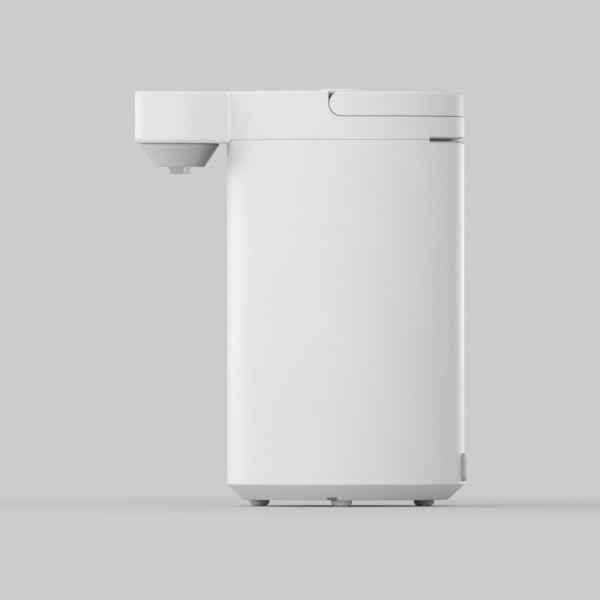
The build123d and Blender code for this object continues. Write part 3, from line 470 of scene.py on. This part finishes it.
def piece_from(work, name, finish):
    """The bmesh as a new piece with that finish, smooth but for its end caps."""
    bmesh.ops.recalc_face_normals(work, faces=work.faces)
    for face in work.faces:
        face.smooth = len(face.verts) == 4
    mesh = bpy.data.meshes.new(name)
    work.to_mesh(mesh)
    work.free()
    mesh.materials.append(finishes[finish])
    return in_scene(name, mesh)


# The push bar's return springs, wound from the posts' foot up to the bar.
SPRING_X = 0.030
SPRING_Y = 0.0373
SPRING_LOW, SPRING_HIGH = 0.34255, 0.35695
SPRING_R = 0.00605
WIRE_R = 0.00045
TURNS = 6
CLOSED_TURNS = 0.8
CLOSED_PITCH = 2.1 * WIRE_R
STEPS_PER_TURN = 28
WIRE_SIDES = 10


def spring_height(turn):
    """Height of the wire after that many turns: closed turns at both ends, even pitch between them."""
    closed_rise = CLOSED_PITCH * CLOSED_TURNS
    open_rise = SPRING_HIGH - SPRING_LOW - 2 * closed_rise
    open_turns = TURNS - 2 * CLOSED_TURNS
    low_part = min(turn, CLOSED_TURNS) / CLOSED_TURNS
    open_part = min(max(turn - CLOSED_TURNS, 0.0), open_turns) / open_turns
    high_part = max(turn - TURNS + CLOSED_TURNS, 0.0) / CLOSED_TURNS
    return SPRING_LOW + closed_rise * (low_part + high_part) + open_rise * open_part


def wind_spring(work, x):
    """One spring's wire, swept round its axis with a flat cap at each end."""
    rings = []
    for step in range(TURNS * STEPS_PER_TURN + 1):
        turn = step / STEPS_PER_TURN
        angle = 2 * math.pi * turn
        out = Vector((math.cos(angle), math.sin(angle), 0.0))
        middle = Vector((x, SPRING_Y, spring_height(turn))) + SPRING_R * out
        ring = []
        for side in range(WIRE_SIDES):
            round_wire = 2 * math.pi * side / WIRE_SIDES
            offset = math.cos(round_wire) * out + math.sin(round_wire) * Vector((0.0, 0.0, 1.0))
            ring.append(work.verts.new(middle + WIRE_R * offset))
        rings.append(ring)
    join_rings(work, rings)


work = bmesh.new()
for x in (-SPRING_X, SPRING_X):
    wind_spring(work, x)
springs = piece_from(work, "wound_springs", "pin_steel")
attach(springs, "lid")
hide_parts("release_springs")
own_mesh(springs)


# A pale strip in the seam between shell and top housing, round the front between the vent groove's ends.
STRIP_LOW, STRIP_HIGH = 0.31561, 0.31609
STRIP_RECESS = 0.00012
STRIP_IN, STRIP_OUT = 0.1006, BODY_R - STRIP_RECESS
STRIP_CROWN = 0.00006
STRIP_FROM, STRIP_TO = math.radians(135.3), math.radians(404.7)
STRIP_STEPS = 200


def seam_strip(work):
    """The strip's section, with a slightly crowned outer face, swept round the body's axis."""
    middle = (STRIP_LOW + STRIP_HIGH) / 2
    section = ((STRIP_IN, STRIP_LOW), (STRIP_OUT - STRIP_CROWN, STRIP_LOW), (STRIP_OUT, middle),
               (STRIP_OUT - STRIP_CROWN, STRIP_HIGH), (STRIP_IN, STRIP_HIGH))
    rings = []
    for step in range(STRIP_STEPS + 1):
        angle = STRIP_FROM + (STRIP_TO - STRIP_FROM) * step / STRIP_STEPS
        along, aside = math.sin(angle), math.cos(angle)
        rings.append([work.verts.new((r * aside, AXIS_Y + r * along, z)) for r, z in section])
    join_rings(work, rings)


work = bmesh.new()
seam_strip(work)
strip = piece_from(work, "seam_strip", "white_plastic")
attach(strip, "dispenser")


# Light: softboxes that aren't mirrored, and strips for bright edges that end below the part's top.
SOFTBOX_AIM = (0.0, 0.0, 0.18)
LOW_H = 0.35
LOW_Z = LOW_H / 2
LOW_AIM = (0.0, 0.0, LOW_Z)
LEFT_X, LEFT_Y = -1.75, -2.25
LEFT_W = 2.2


def lamp(name, place, aim, width, height, watts, mirrored=True):
    """A rectangular lamp. One that isn't mirrored leaves no bright image of itself on glossy faces."""
    data = bpy.data.lights.new(name, "AREA")
    data.shape = "RECTANGLE"
    data.size, data.size_y = width, height
    data.energy = watts
    made = in_scene(name, data)
    made.location = place
    made.rotation_mode = "QUATERNION"
    made.rotation_quaternion = (Vector(aim) - Vector(place)).to_track_quat("-Z", "Y")
    made.visible_glossy = mirrored


lamp("key_softbox", (2.7, -1.3, 1.2), SOFTBOX_AIM, width=1.8, height=1.8, watts=31.5, mirrored=False)
lamp("left_softbox", (LEFT_X, LEFT_Y, 0.5), SOFTBOX_AIM, LEFT_W, height=2.2, watts=28.0, mirrored=False)
lamp("left_strip", (LEFT_X, LEFT_Y, LOW_Z), LOW_AIM, LEFT_W, LOW_H, watts=5.0)
lamp("right_strip", (-2.58, 1.26, LOW_Z), LOW_AIM, 0.4, LOW_H, watts=4.0)


# Backdrop and floor.
PALE = grey(0.60)
AMBIENT = 0.75
FLOOR_R = 4.0
FLOOR_SIDES = 96
FLOOR_DROP = 0.0001
FADE_FROM, FADE_TO = 0.35, 1.5


def mixed_by(tree, share, first, second):
    """The first shader where the share is 0, the second where it is 1."""
    node = add(tree, "ShaderNodeMixShader")
    tree.links.new(share, node.inputs["Fac"])
    tree.links.new(first, node.inputs[1])
    tree.links.new(second, node.inputs[2])
    return node.outputs["Shader"]


def studio(name):
    """A world with even white light all round that is seen as a plain pale backdrop."""
    made = bpy.data.worlds.new(name)
    made.use_nodes = True
    tree = made.node_tree
    tree.nodes.clear()
    light = add(tree, "ShaderNodeBackground", color=(1.0, 1.0, 1.0, 1.0), strength=AMBIENT)
    shown = add(tree, "ShaderNodeBackground", color=(*PALE, 1.0), strength=1.0)
    sky = mixed_by(tree, seen_directly(tree), light.outputs["Background"], shown.outputs["Background"])
    tree.links.new(sky, add(tree, "ShaderNodeOutputWorld").inputs["Surface"])
    return made


def floor_paint(name):
    """Matt pale paint that fades to the backdrop's shade with distance from the part."""
    made, tree, shader = material(name)
    shader.inputs["Roughness"].default_value = 0.9
    shader.inputs["Specular IOR Level"].default_value = 0.1
    grain = noise(tree, coordinates(tree), scale=3.0, detail=3.0)
    shade = shades(tree, grain, dark=tinted(PALE, 0.98), light=tinted(PALE, 1.02))
    tree.links.new(shade, shader.inputs["Base Color"])
    glow = add(tree, "ShaderNodeEmission", color=(*PALE, 1.0), strength=1.0)
    far = add(tree, "ShaderNodeMapRange", from_min=FADE_FROM, from_max=FADE_TO)
    far.interpolation_type = "SMOOTHSTEP"
    tree.links.new(vector_step(tree, coordinates(tree), "LENGTH"), far.inputs["Value"])
    fade = add(tree, "ShaderNodeMath", operation="MULTIPLY")
    tree.links.new(far.outputs["Result"], fade.inputs[0])
    tree.links.new(seen_directly(tree), fade.inputs[1])
    surface = mixed_by(tree, fade.outputs["Value"], shader.outputs["BSDF"], glow.outputs["Emission"])
    tree.links.new(surface, tree.nodes["Material Output"].inputs["Surface"])
    return made


def pale_floor(name):
    """A wide round floor just under the part."""
    mesh = bpy.data.meshes.new(name)
    disc = bmesh.new()
    bmesh.ops.create_circle(disc, cap_ends=True, radius=FLOOR_R, segments=FLOOR_SIDES)
    disc.to_mesh(mesh)
    disc.free()
    mesh.materials.append(floor_paint("floor_pale"))
    made = in_scene(name, mesh)
    made.location = (0.0, 0.0, cad_low.z - FLOOR_DROP)
    return made


bpy.context.scene.world = studio("studio")
floor = pale_floor("floor")


# The camera looks level along -X, as in the photograph.
VIEW_CENTRE = Vector((0.0, -0.0007, 0.1779))
VIEW_WIDTH = 0.5184
CAMERA_DISTANCE = 22.0
SENSOR = 36.0
CLIP_NEAR, CLIP_FAR = 0.1, 100.0

data = bpy.data.cameras.new("camera")
data.sensor_width = SENSOR
data.lens = SENSOR * CAMERA_DISTANCE / VIEW_WIDTH
data.clip_start, data.clip_end = CLIP_NEAR, CLIP_FAR
camera = in_scene("camera", data)
camera.location = VIEW_CENTRE + Vector((CAMERA_DISTANCE, 0.0, 0.0))
camera.rotation_euler = (math.pi / 2, 0.0, math.pi / 2)
bpy.context.scene.camera = camera
bpy.context.scene.view_settings.view_transform = "Standard"
